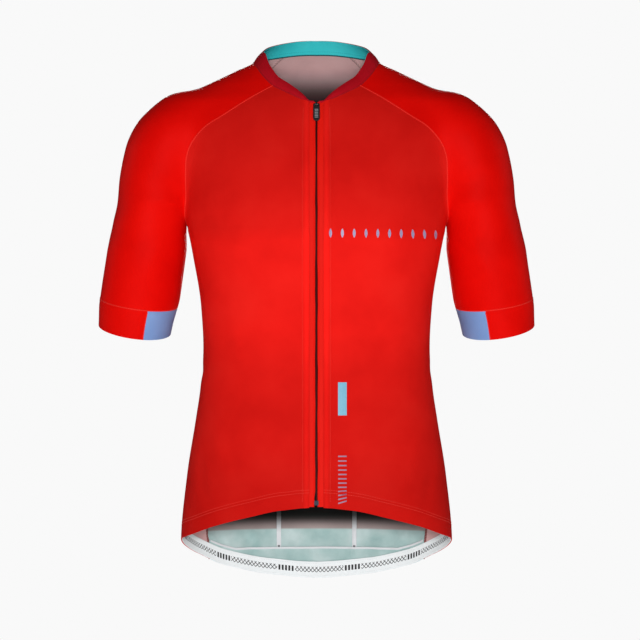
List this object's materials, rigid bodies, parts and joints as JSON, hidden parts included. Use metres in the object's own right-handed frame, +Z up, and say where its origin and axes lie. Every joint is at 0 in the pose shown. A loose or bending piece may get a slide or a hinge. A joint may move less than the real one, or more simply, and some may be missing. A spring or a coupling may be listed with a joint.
{
  "type": "short-sleeve cycling jersey",
  "caption": "Fitted red cycling jersey with raglan short sleeves, a full-length front zip, a low collar and a longer back hem with a white elastic band, filled out as worn.",
  "frame": {"origin": "middle of the neck opening, level with the points where the collar meets the shoulders", "axes": "+Z up along the body, -Y out of the front, +X towards the wearer's left"},
  "size_m": [0.5692, 0.2327, 0.717],
  "materials": {
    "body_knit": "smooth red warp-knit polyester with a soft sheen",
    "sleeve_knit": "smooth red stretch knit",
    "cuff_blue": "smooth periwinkle stretch knit",
    "collar_crimson": "matte crimson knit",
    "collar_turquoise": "matte turquoise knit",
    "hem_elastic": "white woven elastic with a dark printed grip pattern",
    "white_tape": "white woven tape",
    "zip_tape": "red woven zip tape",
    "zip_coil": "dark red nylon coil",
    "zip_metal": "black lacquered die-cast zinc",
    "tab_rubber": "black moulded pull tab",
    "zip_stop": "blue-grey moulded retainer"
  },
  "bodies": {
    "jersey": {"front_left": "body_knit", "front_right": "body_knit", "back": "body_knit", "pocket_panel": "body_knit", "sleeve_left": "sleeve_knit", "sleeve_right": "sleeve_knit", "cuff_left": "sleeve_knit", "cuff_right": "sleeve_knit", "cuff_left_inset": "cuff_blue", "cuff_right_inset": "cuff_blue", "collar_outer": "collar_crimson", "collar_lining": "collar_turquoise", "hem_gripper": "hem_elastic", "pocket_tape_left": "white_tape", "pocket_tape_right": "white_tape", "pocket_seam_tape": "white_tape", "zip_tape_left": "zip_tape", "zip_tape_right": "zip_tape", "zip_chain": "zip_coil", "zip_slider": "zip_metal", "zip_bottom_stop": "zip_stop"},
    "pull_tab": {"zip_pull_tab": "tab_rubber"}
  },
  "joints": [
    {"name": "pull_tab_hinge", "type": "hinge", "parent": "jersey", "child": "pull_tab", "pos_m": [0, -0.08278, -0.06194], "axis": [-1, 0, 0], "range_deg": [0, 150]}
  ]
}
